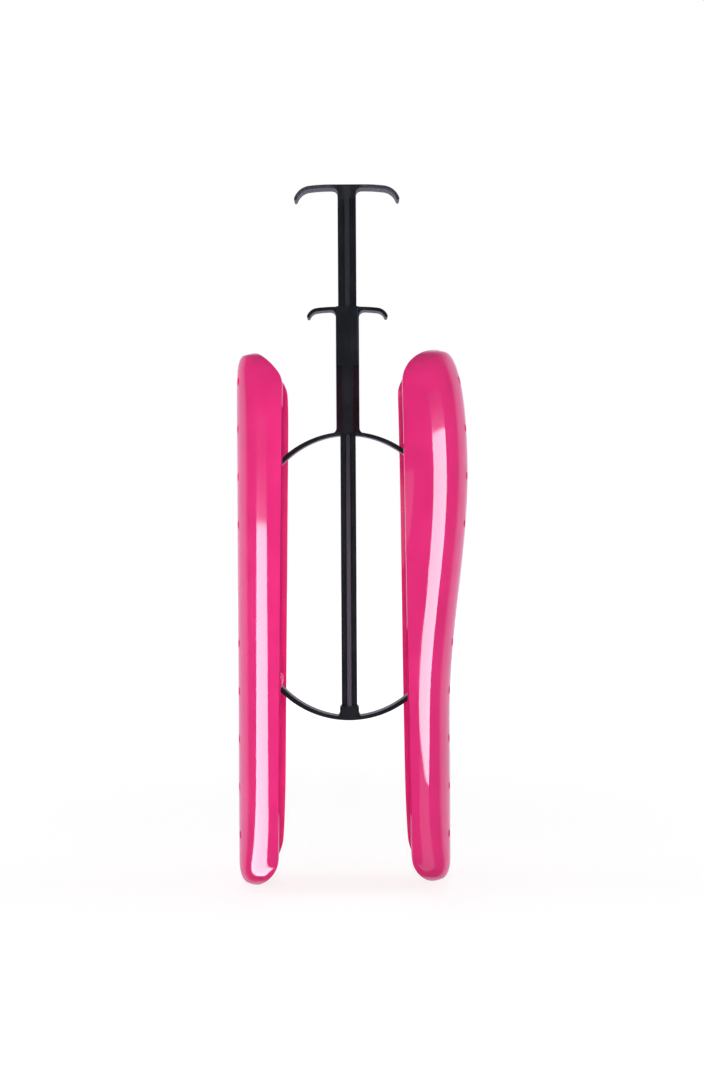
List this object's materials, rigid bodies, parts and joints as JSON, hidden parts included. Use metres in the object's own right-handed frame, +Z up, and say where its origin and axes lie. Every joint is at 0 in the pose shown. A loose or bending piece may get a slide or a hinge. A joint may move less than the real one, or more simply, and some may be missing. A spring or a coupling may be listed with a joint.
{
  "type": "boot shaper",
  "caption": "Hand-squeezed boot shaft shaper: a T-handle plunger bends bowed straps that draw two vented shells together.",
  "frame": {"origin": "middle of the flat on top of the T handle, on the plunger rod's axis", "axes": "+Z up along the rod, out of the boot; +X from the rod to the calf shell; the picture looks along +Y"},
  "size_m": [0.1317, 0.073, 0.3979],
  "materials": {
    "black_plastic": "moulded, satin to semi-gloss",
    "pink_plastic": "moulded, high gloss"
  },
  "bodies": {
    "plunger": {"t_handle_rod": "black_plastic", "lower_collar": "black_plastic"},
    "sleeve": {"grip_sleeve": "black_plastic"},
    "upper_left_strap": {"upper_strap_left": "black_plastic"},
    "upper_right_strap": {"upper_strap_right": "black_plastic"},
    "lower_left_strap": {"lower_strap_left": "black_plastic"},
    "lower_right_strap": {"lower_strap_right": "black_plastic"},
    "shin_shell_body": {"shin_shell": "pink_plastic"},
    "calf_shell_body": {"calf_shell": "pink_plastic"}
  },
  "joints": [
    {"name": "squeeze", "type": "slide", "parent": "plunger", "child": "sleeve", "axis": [0, 0, 1], "range_m": [0, 0.025], "stiffness_N_per_m": 1500},
    {"name": "upper_left_bend", "type": "hinge", "parent": "sleeve", "child": "upper_left_strap", "pos_m": [-0.012, 0, -0.14285], "axis": [0, -1, 0], "range_deg": [0, 30.05]},
    {"name": "upper_right_bend", "type": "hinge", "parent": "sleeve", "child": "upper_right_strap", "pos_m": [0.012, 0, -0.14285], "axis": [0, 1, 0], "range_deg": [0, 30.05]},
    {"name": "lower_left_bend", "type": "hinge", "parent": "plunger", "child": "lower_left_strap", "pos_m": [-0.012, 0, -0.30215], "axis": [0, 1, 0], "range_deg": [0, 30.05]},
    {"name": "lower_right_bend", "type": "hinge", "parent": "plunger", "child": "lower_right_strap", "pos_m": [0.012, 0, -0.30215], "axis": [0, -1, 0], "range_deg": [0, 30.05]},
    {"name": "shin_shell_pivot", "type": "hinge", "parent": "upper_left_strap", "child": "shin_shell_body", "pos_m": [-0.042, 0, -0.16156], "axis": [0, 1, 0], "range_deg": [0, 30.05]},
    {"name": "calf_shell_pivot", "type": "hinge", "parent": "upper_right_strap", "child": "calf_shell_body", "pos_m": [0.042, 0, -0.16156], "axis": [0, -1, 0], "range_deg": [0, 30.05]}
  ],
  "couplings": [
    {"joint": "upper_left_bend", "follows": "squeeze", "rad_per_m": 20.96},
    {"joint": "upper_right_bend", "follows": "squeeze", "rad_per_m": 20.96},
    {"joint": "lower_left_bend", "follows": "squeeze", "rad_per_m": 20.96},
    {"joint": "lower_right_bend", "follows": "squeeze", "rad_per_m": 20.96},
    {"joint": "shin_shell_pivot", "follows": "squeeze", "rad_per_m": 20.96},
    {"joint": "calf_shell_pivot", "follows": "squeeze", "rad_per_m": 20.96}
  ]
}
